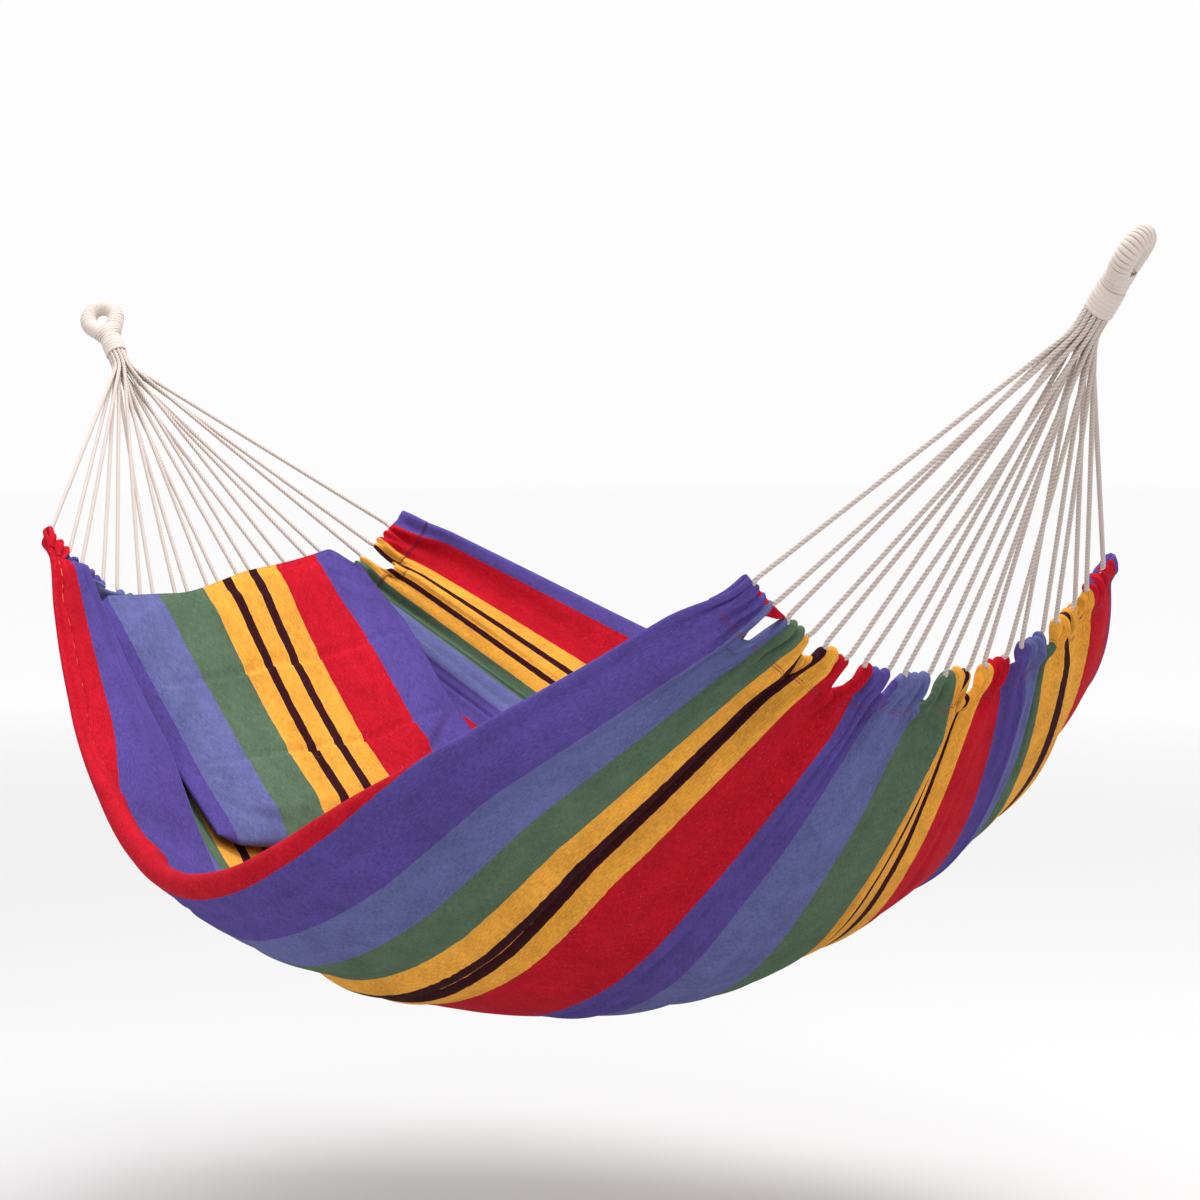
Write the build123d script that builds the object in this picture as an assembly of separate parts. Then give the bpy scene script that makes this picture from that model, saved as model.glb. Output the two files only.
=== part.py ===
"""Striped cloth hammock hung from two rope clews, with a pillow at its head end.

Frame: millimetres, +Z up, +X from the head eye to the foot eye, +Y across the bed.
The origin is the hang point of the head eye: the top of the hole inside its loop, where a
hook bears. Both necks, where the clew cords leave their bindings, lie on one line along X,
the neck line, and every lengthwise thread of the bed hangs as a catenary turned about it.
"""
import os
from math import asin, cos, cosh, pi, radians, sin, sinh, sqrt, tan

from build123d import *

os.makedirs("parts", exist_ok=True)

# ---- hanging size ---------------------------------------------------------------
EYE_REACH = 92.0          # hang point to neck, along the eye
EYE_SLOPE = 51.5          # degrees above level at which each eye and clew pulls
HEAD_TWIST = 36.0         # degrees the head loop is turned about its own axis
FOOT_TWIST = 26.0         # and the foot loop, mirrored
NECK_SPACING = 2240.0     # neck to neck

# ---- bed ------------------------------------------------------------------------
HEAD_HEM = (358.0, 445.0)  # head hem cord: inboard of its neck, and below the neck line
FOOT_HEM = (259.0, 441.0)  # foot hem cord, the same two distances
CATENARY = 720.0           # catenary constant of the lengthwise threads
FOOTWARD_SAG = 36.0        # how much the belly shifts down at the foot and up at the head
CLOTH_THICK = 3.0
HEM_THICK = 6.0
HEM_RUN = 30.0             # hem depth, measured along X
HEM_ROLL = 8.0             # radius of the rolled channel round the cord
JOINT_GAP = 0.3
HEAD_SPREAD = 50.0         # degrees, half the angle that the head hem spans
FOOT_SPREAD = 46.0
RIM_STATIONS = (-1.0, -0.5, 0.0, 0.5, 1.0)   # head hem, quarter points, foot hem
NEAR_RIM = (49.0, 37.0, 38.0, 44.0, 45.5)    # rim angles at those stations, degrees
FAR_RIM = (52.0, 52.0, 51.0, 51.0, 47.0)
ROLL_WIDTH = 8.0           # width of the rolled edge in plan
ROLL_HALF = 3.5            # half its thickness
NEAR_LIP = 60.0            # turned-in band along the near rim
FAR_LIP = 45.0             # turned-out band along the far rim
LIP_LIFT = 10.0            # clear of the middle of the bed cloth

# ---- clews ----------------------------------------------------------------------
LOOPS = 10                 # cords at each end, each with two strands
CORD = 6.0                 # cord diameter
BUNDLE_RINGS = ((1, 0.0), (6, 6.7), (13, 13.6))   # strands and radius of each ring
STRAND_SHARE = 0.31        # strand to loop centre, as a share of one hem segment
FLEX_GAP = 9.0             # open length below the binding, where the cords flex
KNEE_RUN = 26.0            # straight run out of the flex gap before a strand fans out
KNEE_LEAD = 0.35           # outer strands turn this much of their offset sooner
CHANNEL_CLEAR = 0.3

# ---- eyes -----------------------------------------------------------------------
HOLE_RADIUS = 10.0         # half the width of the eye's hole
CORE_RADIUS = 11.5         # bundle of cords inside the loop
WHIPPING = 2.5             # thickness of the thin cord wound over it
NECK_RADIUS = 14.0
BINDING_START = 4.0        # above the neck
BINDING_TURNS = 5
BINDING_PITCH = 6.5
SNUG = 0.2

# ---- pillow ---------------------------------------------------------------------
PILLOW_CORNER = (485.0, -300.0)   # near corner at the head edge, in plan
PILLOW_TURN = 4.0          # degrees in plan; the near side lies nearer the foot
PILLOW_WIDE = 520.0        # across the bed
PILLOW_RUN = 352.0         # along the bed in plan, on the slope
PILLOW_LIFT = 5.0          # underside above the middle of the cloth
PILLOW_TOP = (85.0, 50.0)  # top above the middle of the cloth, at its head and foot edges
PILLOW_FLATTER = 1500.0    # its top is turned about a line this far above the neck line
COVER_THICK = 2.0
SEAM_WIDTH = 9.0
SEAM_LIFT = 8.5            # middle of the side seams above the middle of the cloth
SEAM_THICK = 3.0
SEAM_SHORT = 6.0           # the side seams stop this far from the pillow's ends

# ---- worked out from the above --------------------------------------------------
LOOP_RADIUS = HOLE_RADIUS + CORE_RADIUS + WHIPPING
BINDING_TOP = BINDING_START + BINDING_TURNS * BINDING_PITCH
NECK_X = EYE_REACH * cos(radians(EYE_SLOPE))
NECK_Z = -EYE_REACH * sin(radians(EYE_SLOPE))
HOOK_SPACING = NECK_SPACING + 2 * NECK_X
HEAD_X = NECK_X + HEAD_HEM[0]
FOOT_X = NECK_X + NECK_SPACING - FOOT_HEM[0]
HALF_SPAN = (FOOT_X - HEAD_X) / 2
MID_X = (FOOT_X + HEAD_X) / 2
STEEPNESS = HALF_SPAN / CATENARY
SHIFT_GAIN = 2.6           # makes the belly's shift equal FOOTWARD_SAG where it is largest
NECK_LINE = Axis((0, 0, NECK_Z), (1, 0, 0))


def drop(station):
    """Depth of the bed below the neck line; station runs from -1 (head) to 1 (foot)."""
    ends = (HEAD_HEM[1] * (1 - station) + FOOT_HEM[1] * (1 + station)) / 2
    shift = SHIFT_GAIN * FOOTWARD_SAG * station * (1 - station * station)
    return ends + shift + CATENARY * (cosh(STEEPNESS) - cosh(STEEPNESS * station))


def slope(station):
    """Rate at which the bed gets deeper along X."""
    ends = (FOOT_HEM[1] - HEAD_HEM[1]) / 2
    shift = SHIFT_GAIN * FOOTWARD_SAG * (1 - 3 * station * station)
    return (ends + shift) / HALF_SPAN - sinh(STEEPNESS * station)


def section_point(station, lift):
    """Point of the lengthwise section in the plane Y = 0, lifted off the cloth inwards."""
    fall = slope(station)
    norm = sqrt(1 + fall * fall)
    x = MID_X + station * HALF_SPAN + lift * fall / norm
    return Vector(x, 0, NECK_Z - drop(station) + lift / norm)


def station_at(x):
    return (x - MID_X) / HALF_SPAN


def band(x_start, x_end, lift_low, lift_high, from_angle, to_angle):
    """Layer that follows the hanging threads between two lifts, turned about the neck line."""
    count = 9
    start, end = station_at(x_start), station_at(x_end)
    steps = [start + (end - start) * i / (count - 1) for i in range(count)]
    low = [section_point(s, lift_low) for s in steps]
    high = [section_point(s, lift_high) for s in steps]
    edges = [Spline(*low), Line(low[-1], high[-1]), Spline(*reversed(high)), Line(high[0], low[0])]
    face = Face(Wire(edges)).rotate(NECK_LINE, from_angle)
    return revolve(face, axis=NECK_LINE, revolution_arc=to_angle - from_angle)


def rim_points(angles, side, inset):
    """Rim of the bed in plan: side is -1 for the near rim and 1 for the far one."""
    points = []
    for station, angle in zip(RIM_STATIONS, angles):
        y = side * (drop(station) * sin(radians(angle)) - inset)
        points.append(Vector(MID_X + station * HALF_SPAN, y, 0))
    return points


def plan_prism(near_inset, far_inset):
    """Upright prism over the bed's plan, for trimming the layers at the rims."""
    near = rim_points(NEAR_RIM, -1, near_inset)
    far = rim_points(FAR_RIM, 1, far_inset)
    edges = [Spline(*near), Line(near[-1], far[-1]), Spline(*reversed(far)), Line(far[0], near[0])]
    return extrude(Face(Wire(edges)), amount=1300, dir=(0, 0, -1))


# ---- bed ------------------------------------------------------------------------
CLOTH_START = HEAD_X + HEM_RUN + JOINT_GAP
CLOTH_END = FOOT_X - HEM_RUN - JOINT_GAP


def bed_layer(lift_low, lift_high):
    return band(CLOTH_START, CLOTH_END, lift_low, lift_high, -60, 60)


def bed_cloth():
    half = CLOTH_THICK / 2
    inset = ROLL_WIDTH + JOINT_GAP
    return bed_layer(-half, half) & plan_prism(inset, inset)


LIP_TOP = LIP_LIFT + CLOTH_THICK
BEYOND = -100              # an inset that puts the other rim out of the way


def near_selvedge_hem():
    """Rolled edge with the band of cloth that turns in over the bed."""
    roll = bed_layer(-ROLL_HALF, LIP_TOP) & (plan_prism(0, 0) - plan_prism(ROLL_WIDTH, BEYOND))
    lip = bed_layer(LIP_LIFT, LIP_TOP) & (plan_prism(1, 0) - plan_prism(NEAR_LIP, BEYOND))
    return roll + lip


def far_selvedge_hem():
    """Rolled edge with the band of cloth that turns out and hangs behind."""
    roll = bed_layer(-LIP_TOP, ROLL_HALF) & (plan_prism(0, 0) - plan_prism(BEYOND, ROLL_WIDTH))
    lip = bed_layer(-LIP_TOP, -LIP_LIFT) & (plan_prism(0, 1) - plan_prism(BEYOND, FAR_LIP))
    return roll + lip


# ---- clews ----------------------------------------------------------------------
def bundle_places():
    """Places of the twenty strands in the bundle: (across the bed, towards the bed)."""
    places = []
    for count, radius in BUNDLE_RINGS:
        for i in range(count):
            turn = 2 * pi * (i + 0.5) / count
            places.append((round(radius * sin(turn), 6), radius * cos(turn)))
    # nearly by the place across, with the strands towards the bed counted as further out
    return sorted(places, key=lambda place: place[0] + 0.15 * place[1] * (1 if place[0] > 0 else -1))


def hem_point(end_x, depth, angle):
    return Vector(end_x, depth * sin(radians(angle)), NECK_Z - depth * cos(radians(angle)))


def clew_route(neck, inward, end_x, depth, spread, loop):
    """Points of one clew cord, from the bundle down to the hem, along it and back up."""
    segment = 2 * spread / LOOPS
    centre = -spread + (loop + 0.5) * segment
    pull = radians(EYE_SLOPE)
    axis = Vector(inward * cos(pull), 0, -sin(pull))
    across_bed = Vector(inward * sin(pull), 0, cos(pull))
    places = bundle_places()
    route = []
    for side in (0, 1):
        y, e = places[2 * loop + side]
        start = neck + Vector(0, y, 0) + across_bed * e + axis * (FLEX_GAP - BINDING_START)
        knee = start + axis * (KNEE_RUN - KNEE_LEAD * abs(y))
        angle = centre + (2 * side - 1) * STRAND_SHARE * segment
        foot = hem_point(end_x, depth, angle)
        route.append([start, knee, foot])
    return route[0] + list(reversed(route[1]))


def largest_radii(route, shortest=3 * CORD):
    """Arc radius at each corner: as large as its two runs allow."""
    radii = []
    for before, corner, after in zip(route, route[1:], route[2:]):
        run_in, run_out = corner - before, after - corner
        turn = radians(run_in.get_angle(run_out))
        radii.append(max(shortest, 0.45 * min(run_in.length, run_out.length) / tan(turn / 2)))
    return radii


def cord_tube(route, diameter, radii):
    path = FilletPolyline(*route, radius=radii)
    start = Plane(origin=route[0], z_dir=route[1] - route[0])
    return sweep(start * Circle(diameter / 2), path=path)


def write_clews(name, neck, inward, end_x, depth, spread):
    """Ten looped cords; returns their widened tubes, for the bores of the hem channels."""
    bores = []
    for loop in range(LOOPS):
        route = clew_route(neck, inward, end_x, depth, spread, loop)
        radii = largest_radii(route)
        print(name, loop + 1, "radii", [round(r, 1) for r in radii])
        export_step(cord_tube(route, CORD, radii), f"parts/{name}_{loop + 1:02d}.step")
        bores.append(cord_tube(route, CORD + 2 * CHANNEL_CLEAR, radii))
    return bores


def hem(end_x, inward, depth, spread, bores):
    """Ten turned and stitched channels, one round the bottom of each clew cord."""
    segment = 2 * spread / LOOPS
    x_low, x_high = sorted((end_x, end_x + inward * HEM_RUN))
    half = HEM_THICK / 2
    channels = []
    for loop in range(LOOPS):
        first = -spread + (loop + 0.06) * segment
        last = first + 0.88 * segment
        turned = band(x_low, x_high, -half, half, first, last)
        roll_face = Plane.XZ * Pos(end_x, NECK_Z - depth) * Circle(HEM_ROLL)
        roll = revolve(roll_face.rotate(NECK_LINE, first), axis=NECK_LINE, revolution_arc=last - first)
        channels.append((turned + roll) - bores[loop])
    return Compound(children=[s for channel in channels for s in channel.solids()])


# ---- eyes, built upright on the neck point, then tilted into place ---------------
def loop_tube(radius):
    """Teardrop loop: an arc over the top and two legs that close at the neck."""
    centre = EYE_REACH - HOLE_RADIUS
    foot = BINDING_TOP
    lean = asin(LOOP_RADIUS / (centre - foot))
    left = Vector(-LOOP_RADIUS * cos(lean), 0, centre - LOOP_RADIUS * sin(lean))
    right = Vector(-left.X, 0, left.Z)
    top = Vector(0, 0, centre + LOOP_RADIUS)
    base = Vector(0, 0, foot)
    arc = ThreePointArc(left, top, right)
    tube = sweep(Plane(origin=left, z_dir=arc % 0) * Circle(radius), path=arc)
    for end in (left, right):
        leg = Line(base, end)
        tube += sweep(Plane(origin=base, z_dir=end - base) * Circle(radius), path=leg)
    return tube


def upright_cylinder(radius, low, high):
    return Pos(0, 0, (low + high) / 2) * Cylinder(radius, high - low)


def eye_core():
    return loop_tube(CORE_RADIUS) + upright_cylinder(NECK_RADIUS, BINDING_START, BINDING_TOP)


def eye_whipping():
    above_binding = upright_cylinder(80, BINDING_TOP + SNUG, EYE_REACH + 80)
    sleeve = loop_tube(CORE_RADIUS + WHIPPING) - loop_tube(CORE_RADIUS + SNUG)
    sleeve -= upright_cylinder(NECK_RADIUS + SNUG, BINDING_START, BINDING_TOP)
    return sleeve & above_binding


def neck_binding():
    """Sleeve of heavy cord turns round the neck."""
    turn_radius = BINDING_PITCH / 2
    inner = NECK_RADIUS + SNUG
    length = BINDING_TOP - BINDING_START
    section = Pos(inner + turn_radius / 2, BINDING_START + length / 2) * Rectangle(turn_radius, length)
    for turn in range(BINDING_TURNS):
        height = BINDING_START + (turn + 0.5) * BINDING_PITCH
        section += Pos(inner + turn_radius, height) * Circle(turn_radius)
    return revolve(Plane.XZ * section, axis=Axis.Z)


def head_eye_place(twist):
    pull, turn = radians(EYE_SLOPE), radians(twist)
    across = Vector(sin(pull), 0, cos(pull)) * sin(turn) + Vector(0, cos(turn), 0)
    return Plane(origin=HEAD_NECK, x_dir=across, z_dir=(-cos(pull), 0, sin(pull)))


def write_eyes():
    halfway = Plane(origin=(HOOK_SPACING / 2, 0, 0), z_dir=(1, 0, 0))
    pieces = {"eye_core": eye_core(), "eye_whipping": eye_whipping(), "neck_binding": neck_binding()}
    for name, piece in pieces.items():
        at_foot = mirror(head_eye_place(FOOT_TWIST) * piece, about=halfway)
        export_step(head_eye_place(HEAD_TWIST) * piece, f"parts/head_{name}.step")
        export_step(at_foot, f"parts/foot_{name}.step")


# ---- pillow ---------------------------------------------------------------------
def pillow_prism(low_side, high_side, short):
    """Upright prism over the strip of the pillow between two distances from its near side."""
    place = Pos(*PILLOW_CORNER, -400) * Rot(0, 0, PILLOW_TURN)
    middle = (low_side + high_side) / 2
    size = (PILLOW_RUN - 2 * short, high_side - low_side, 1200)
    return place * Pos(PILLOW_RUN / 2, middle, 0) * Box(*size)


def pillow_reach():
    """Stretch of the bed's section that the pillow needs; its layers lean towards the foot."""
    return PILLOW_CORNER[0] - 190, PILLOW_CORNER[0] + PILLOW_RUN + 40


def pillow_top(shrink):
    """All that lies below the pillow's top, which sags less across the bed than the bed does."""
    start, end = pillow_reach()
    top = []
    for i in range(9):
        x = start + (end - start) * i / 8
        share = (x - PILLOW_CORNER[0]) / PILLOW_RUN
        lift = PILLOW_TOP[0] + (PILLOW_TOP[1] - PILLOW_TOP[0]) * share
        top.append(section_point(station_at(x), lift - shrink))
    low = [Vector(top[-1].X, 0, NECK_Z - 950), Vector(top[0].X, 0, NECK_Z - 950)]
    edges = [Spline(*top), Line(top[-1], low[0]), Line(*low), Line(low[1], top[0])]
    axis = Axis((0, 0, NECK_Z + PILLOW_FLATTER), (1, 0, 0))
    return revolve(Face(Wire(edges)).rotate(axis, -15), axis=axis, revolution_arc=30)


def pillow_block(shrink):
    """Pillow lying on the bed, made smaller all round by shrink."""
    start, end = pillow_reach()
    above_bed = band(start, end, PILLOW_LIFT + shrink, 160, -60, 60)
    prism = pillow_prism(shrink, PILLOW_WIDE - shrink, shrink)
    return above_bed & pillow_top(shrink) & prism


def pillow_side_seams():
    """Two flat seams that stand out from the near and far sides of the cover."""
    start, end = pillow_reach()
    strip = band(start, end, SEAM_LIFT - SEAM_THICK / 2, SEAM_LIFT + SEAM_THICK / 2, -60, 60)
    seams = []
    for side in (-SEAM_WIDTH - JOINT_GAP, PILLOW_WIDE + JOINT_GAP):
        seams += (strip & pillow_prism(side, side + SEAM_WIDTH, SEAM_SHORT)).solids()
    return Compound(children=seams)


# ---- write the nodes ------------------------------------------------------------
HEAD_NECK = Vector(NECK_X, 0, NECK_Z)
FOOT_NECK = Vector(NECK_X + NECK_SPACING, 0, NECK_Z)

write_eyes()
head_bores = write_clews("head_clew", HEAD_NECK, 1, HEAD_X, HEAD_HEM[1], HEAD_SPREAD)
foot_bores = write_clews("foot_clew", FOOT_NECK, -1, FOOT_X, FOOT_HEM[1], FOOT_SPREAD)
export_step(hem(HEAD_X, 1, HEAD_HEM[1], HEAD_SPREAD, head_bores), "parts/head_hem.step")
export_step(hem(FOOT_X, -1, FOOT_HEM[1], FOOT_SPREAD, foot_bores), "parts/foot_hem.step")
export_step(bed_cloth(), "parts/bed_cloth.step")
export_step(near_selvedge_hem(), "parts/near_selvedge_hem.step")
export_step(far_selvedge_hem(), "parts/far_selvedge_hem.step")
export_step(pillow_block(0) - pillow_block(COVER_THICK), "parts/pillow_cover.step")
export_step(pillow_block(COVER_THICK + JOINT_GAP), "parts/pillow_filling.step")
export_step(pillow_side_seams(), "parts/pillow_side_seams.step")
print("hook spacing", round(HOOK_SPACING, 1))
print("cloth length", round(2 * CATENARY * sinh(STEEPNESS), 1))
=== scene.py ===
"""Looks of the striped cloth hammock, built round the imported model.

Metres, in the CAD frame: +Z up, +X from the head eye to the foot eye, +Y across the bed. Every
lengthwise thread of the bed hangs as a catenary turned about the neck line, the line along X
through the two necks where the clew cords leave their bindings.
"""
from math import asin, cos, pi, radians, sin

import bpy
import numpy as np
from mathutils import Matrix, Vector


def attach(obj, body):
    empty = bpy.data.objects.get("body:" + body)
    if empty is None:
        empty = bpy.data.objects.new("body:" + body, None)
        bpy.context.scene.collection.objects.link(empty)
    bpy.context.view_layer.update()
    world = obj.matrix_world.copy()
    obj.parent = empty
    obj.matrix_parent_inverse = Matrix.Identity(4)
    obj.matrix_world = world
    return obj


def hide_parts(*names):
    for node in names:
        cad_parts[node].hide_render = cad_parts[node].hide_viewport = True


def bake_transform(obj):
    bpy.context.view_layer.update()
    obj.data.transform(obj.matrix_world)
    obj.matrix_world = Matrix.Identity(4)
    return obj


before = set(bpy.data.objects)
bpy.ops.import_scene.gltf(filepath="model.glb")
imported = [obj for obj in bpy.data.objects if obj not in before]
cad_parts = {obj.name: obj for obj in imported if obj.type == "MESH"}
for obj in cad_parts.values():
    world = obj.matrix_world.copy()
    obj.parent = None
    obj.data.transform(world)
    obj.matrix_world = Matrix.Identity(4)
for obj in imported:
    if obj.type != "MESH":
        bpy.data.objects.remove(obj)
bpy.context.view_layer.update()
RANDOM = np.random.default_rng(463)

# ---- hanging shape, as in the CAD model ------------------------------------------
EYE_REACH = 0.092
EYE_SLOPE = radians(51.5)
HEAD_TWIST = radians(36.0)
FOOT_TWIST = radians(26.0)
NECK_SPACING = 2.240
HEAD_HEM = (0.358, 0.445)      # hem cord: inboard of its neck, and below the neck line
FOOT_HEM = (0.259, 0.441)
CATENARY = 0.720
FOOTWARD_SAG = 0.036
SHIFT_GAIN = 2.6
HEAD_SPREAD = 50.0             # degrees, half the angle that the hem spans
FOOT_SPREAD = 46.0
RIM_STATIONS = (-1.0, -0.5, 0.0, 0.5, 1.0)
NEAR_RIM = (49.0, 37.0, 38.0, 44.0, 45.5)
FAR_RIM = (52.0, 52.0, 51.0, 51.0, 47.0)

NECK_X = EYE_REACH * cos(EYE_SLOPE)
NECK_Z = -EYE_REACH * sin(EYE_SLOPE)
HOOK_SPACING = NECK_SPACING + 2 * NECK_X
HEAD_X = NECK_X + HEAD_HEM[0]
FOOT_X = NECK_X + NECK_SPACING - FOOT_HEM[0]
HALF_SPAN = (FOOT_X - HEAD_X) / 2
MID_X = (FOOT_X + HEAD_X) / 2
STEEPNESS = HALF_SPAN / CATENARY


def drop(station):
    """Depth of the bed below the neck line; station runs from -1 (head) to 1 (foot)."""
    ends = (HEAD_HEM[1] * (1 - station) + FOOT_HEM[1] * (1 + station)) / 2
    shift = SHIFT_GAIN * FOOTWARD_SAG * station * (1 - station * station)
    return ends + shift + CATENARY * (np.cosh(STEEPNESS) - np.cosh(STEEPNESS * station))


def slope(station):
    ends = (FOOT_HEM[1] - HEAD_HEM[1]) / 2
    shift = SHIFT_GAIN * FOOTWARD_SAG * (1 - 3 * station * station)
    return (ends + shift) / HALF_SPAN - np.sinh(STEEPNESS * station)


STATIONS = np.linspace(-1.2, 1.2, 4801)
RUNS = HALF_SPAN * np.sqrt(1 + slope(STATIONS) ** 2) * (STATIONS[1] - STATIONS[0])
LENGTHS = np.cumsum(RUNS)
LENGTHS -= np.interp(-1.0, STATIONS, LENGTHS)
CLOTH_LENGTH = float(np.interp(1.0, STATIONS, LENGTHS))


def station_of(along):
    """Station of a point that far from the head hem, measured along a thread."""
    return np.interp(along, LENGTHS, STATIONS)


def rim_curve(angles):
    """Plan offset of a rim: a smooth curve through its five stations."""
    offsets = [float(drop(s)) * sin(radians(a)) for s, a in zip(RIM_STATIONS, angles)]
    return np.polyfit(RIM_STATIONS, offsets, len(offsets) - 1)


NEAR_CURVE = rim_curve(NEAR_RIM)
FAR_CURVE = rim_curve(FAR_RIM)


def rim_angle(curve, station):
    inside = np.clip(station, -1, 1)
    return np.arcsin(np.polyval(curve, inside) / drop(inside))


def hang(along, angle, lift, across=0.0):
    """Points on the hanging bed, lifted off it inwards and slid across it."""
    station = station_of(along)
    fall = slope(station)
    norm = np.sqrt(1 + fall * fall)
    radius = drop(station) - lift / norm
    x = MID_X + station * HALF_SPAN + lift * fall / norm
    y = radius * np.sin(angle) + across * np.cos(angle)
    z = NECK_Z - radius * np.cos(angle) + across * np.sin(angle)
    return np.stack([x, y, z], axis=-1)


# ---- small helpers ---------------------------------------------------------------
def smooth(low, high, value):
    t = np.clip((value - low) / (high - low), 0, 1)
    return t * t * (3 - 2 * t)


def bell(offset, width):
    return np.exp(-(offset / width) ** 2)


def soft_noise(u, v, seed):
    """Smooth random field from -1 to 1 with one cell per unit of u and v."""
    rng = np.random.default_rng(seed)
    grid = rng.uniform(-1, 1, (64, 64))
    iu, iv = np.floor(u).astype(int), np.floor(v).astype(int)
    fu, fv = u - iu, v - iv
    fu, fv = fu * fu * (3 - 2 * fu), fv * fv * (3 - 2 * fv)

    def at(i, j):
        return grid[i % 64, j % 64]

    low = at(iu, iv) * (1 - fu) + at(iu + 1, iv) * fu
    high = at(iu, iv + 1) * (1 - fu) + at(iu + 1, iv + 1) * fu
    return low * (1 - fv) + high * fv


def new_object(name, data):
    """A new object in the scene, holding this data."""
    made = bpy.data.objects.new(name, data)
    bpy.context.scene.collection.objects.link(made)
    return made


def aim(piece, direction):
    """Turns a camera or a light to look this way."""
    piece.rotation_mode = "QUATERNION"
    piece.rotation_quaternion = direction.to_track_quat("-Z", "Y")


def mesh_object(name, points, faces, smooth_faces=True):
    mesh = bpy.data.meshes.new(name)
    mesh.from_pydata([tuple(p) for p in points], [], [tuple(int(i) for i in f) for f in faces])
    mesh.validate()
    if smooth_faces:
        mesh.shade_smooth()
    return new_object(name, mesh)


def grid_faces(rows, columns, ring=False):
    """Quads of a grid whose points run row by row; ring joins each row's two ends."""
    faces = []
    last = columns if ring else columns - 1
    for i in range(rows - 1):
        for j in range(last):
            k = (j + 1) % columns
            this, following = i * columns, (i + 1) * columns
            faces.append((this + j, this + k, following + k, following + j))
    return faces


def tube_faces(rows, sides):
    """Faces of a closed tube: a ring of quads between its rows, and a cap on each end."""
    faces = grid_faces(rows, sides, ring=True)
    faces.append(tuple(reversed(range(sides))))
    faces.append(tuple((rows - 1) * sides + j for j in range(sides)))
    return faces


def distances(line):
    """How far along a line each of its points lies."""
    return np.concatenate([[0], np.cumsum(np.linalg.norm(np.diff(line, axis=0), axis=1))])


def unit(vectors):
    """The same directions, each with length 1."""
    return vectors / np.linalg.norm(vectors, axis=1, keepdims=True)


def read_line(line, at, places):
    """Points of a line at these places; at says how far along each of its own points lies."""
    return np.stack([np.interp(places, at, line[:, k]) for k in range(3)], axis=1)


def store(piece, name, values):
    """Stores a vector for each point of a mesh, for its material to read."""
    attribute = piece.data.attributes.new(name, "FLOAT_VECTOR", "POINT")
    attribute.data.foreach_set("vector", np.asarray(values, np.float32).ravel())


def srgb(red, green, blue):
    """Linear colour of a colour given as it looks, from 0 to 255."""
    shares = [c / 255 for c in (red, green, blue)]
    return tuple(c / 12.92 if c <= 0.04045 else ((c + 0.055) / 1.055) ** 2.4 for c in shares) + (1.0,)


# ---- materials -------------------------------------------------------------------
class Nodes:
    """Short forms for building a material's nodes."""

    def __init__(self, name):
        self.material = bpy.data.materials.new(name)
        self.material.use_nodes = True
        self.tree = self.material.node_tree
        self.shader = self.tree.nodes["Principled BSDF"]

    def add(self, kind, **values):
        node = self.tree.nodes.new(kind)
        for key, value in values.items():
            setattr(node, key, value)
        return node

    def link(self, output, target):
        self.tree.links.new(output, target)

    def feed(self, socket, value):
        if isinstance(value, bpy.types.NodeSocket):
            self.link(value, socket)
        else:
            socket.default_value = value

    def fill(self, node, values):
        """Feeds a node's first inputs and gives its first output."""
        for socket, value in zip(node.inputs, values):
            self.feed(socket, value)
        return node.outputs[0]

    def math(self, operation, a, b=0.0, c=0.0):
        return self.fill(self.add("ShaderNodeMath", operation=operation), (a, b, c))

    def times(self, a, b):
        return self.math("MULTIPLY", a, b)

    def attribute(self, name):
        node = self.add("ShaderNodeAttribute", attribute_name=name)
        parts = self.add("ShaderNodeSeparateXYZ")
        self.link(node.outputs["Vector"], parts.inputs[0])
        return parts.outputs

    def vector(self, x, y, z=0.0):
        return self.fill(self.add("ShaderNodeCombineXYZ"), (x, y, z))

    def stretched(self, x, x_scale, y, y_scale, z=0.0):
        """A place multiplied by another number each way, for a grain that is longer one way."""
        return self.vector(self.times(x, x_scale), self.times(y, y_scale), z)

    def noise(self, vector, scale=1.0, detail=2.0, roughness=0.5):
        node = self.add("ShaderNodeTexNoise")
        self.link(vector, node.inputs["Vector"])
        node.inputs["Scale"].default_value = scale
        node.inputs["Detail"].default_value = detail
        node.inputs["Roughness"].default_value = roughness
        return node.outputs["Fac"]

    def spread(self, value, low, high, to_low=0.0, to_high=1.0):
        return self.fill(self.add("ShaderNodeMapRange"), (value, low, high, to_low, to_high))

    def steps(self, value, stops):
        """Sharp-edged colour steps."""
        node = self.add("ShaderNodeValToRGB")
        node.color_ramp.interpolation = "CONSTANT"
        elements = node.color_ramp.elements
        while len(elements) < len(stops):
            elements.new(1.0)
        for element, (position, colour) in zip(elements, stops):
            element.position = position
            element.color = colour
        self.feed(node.inputs[0], value)
        return node.outputs[0]

    def mix(self, share, first, second, blend="MIX"):
        node = self.add("ShaderNodeMix", data_type="RGBA", blend_type=blend)
        self.feed(node.inputs[0], share)
        self.feed(node.inputs[6], first)
        self.feed(node.inputs[7], second)
        return node.outputs[2]

    def bump(self, height, strength, distance):
        node = self.add("ShaderNodeBump")
        node.inputs["Strength"].default_value = strength
        node.inputs["Distance"].default_value = distance
        self.link(height, node.inputs["Height"])
        self.link(node.outputs[0], self.shader.inputs["Normal"])


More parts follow.
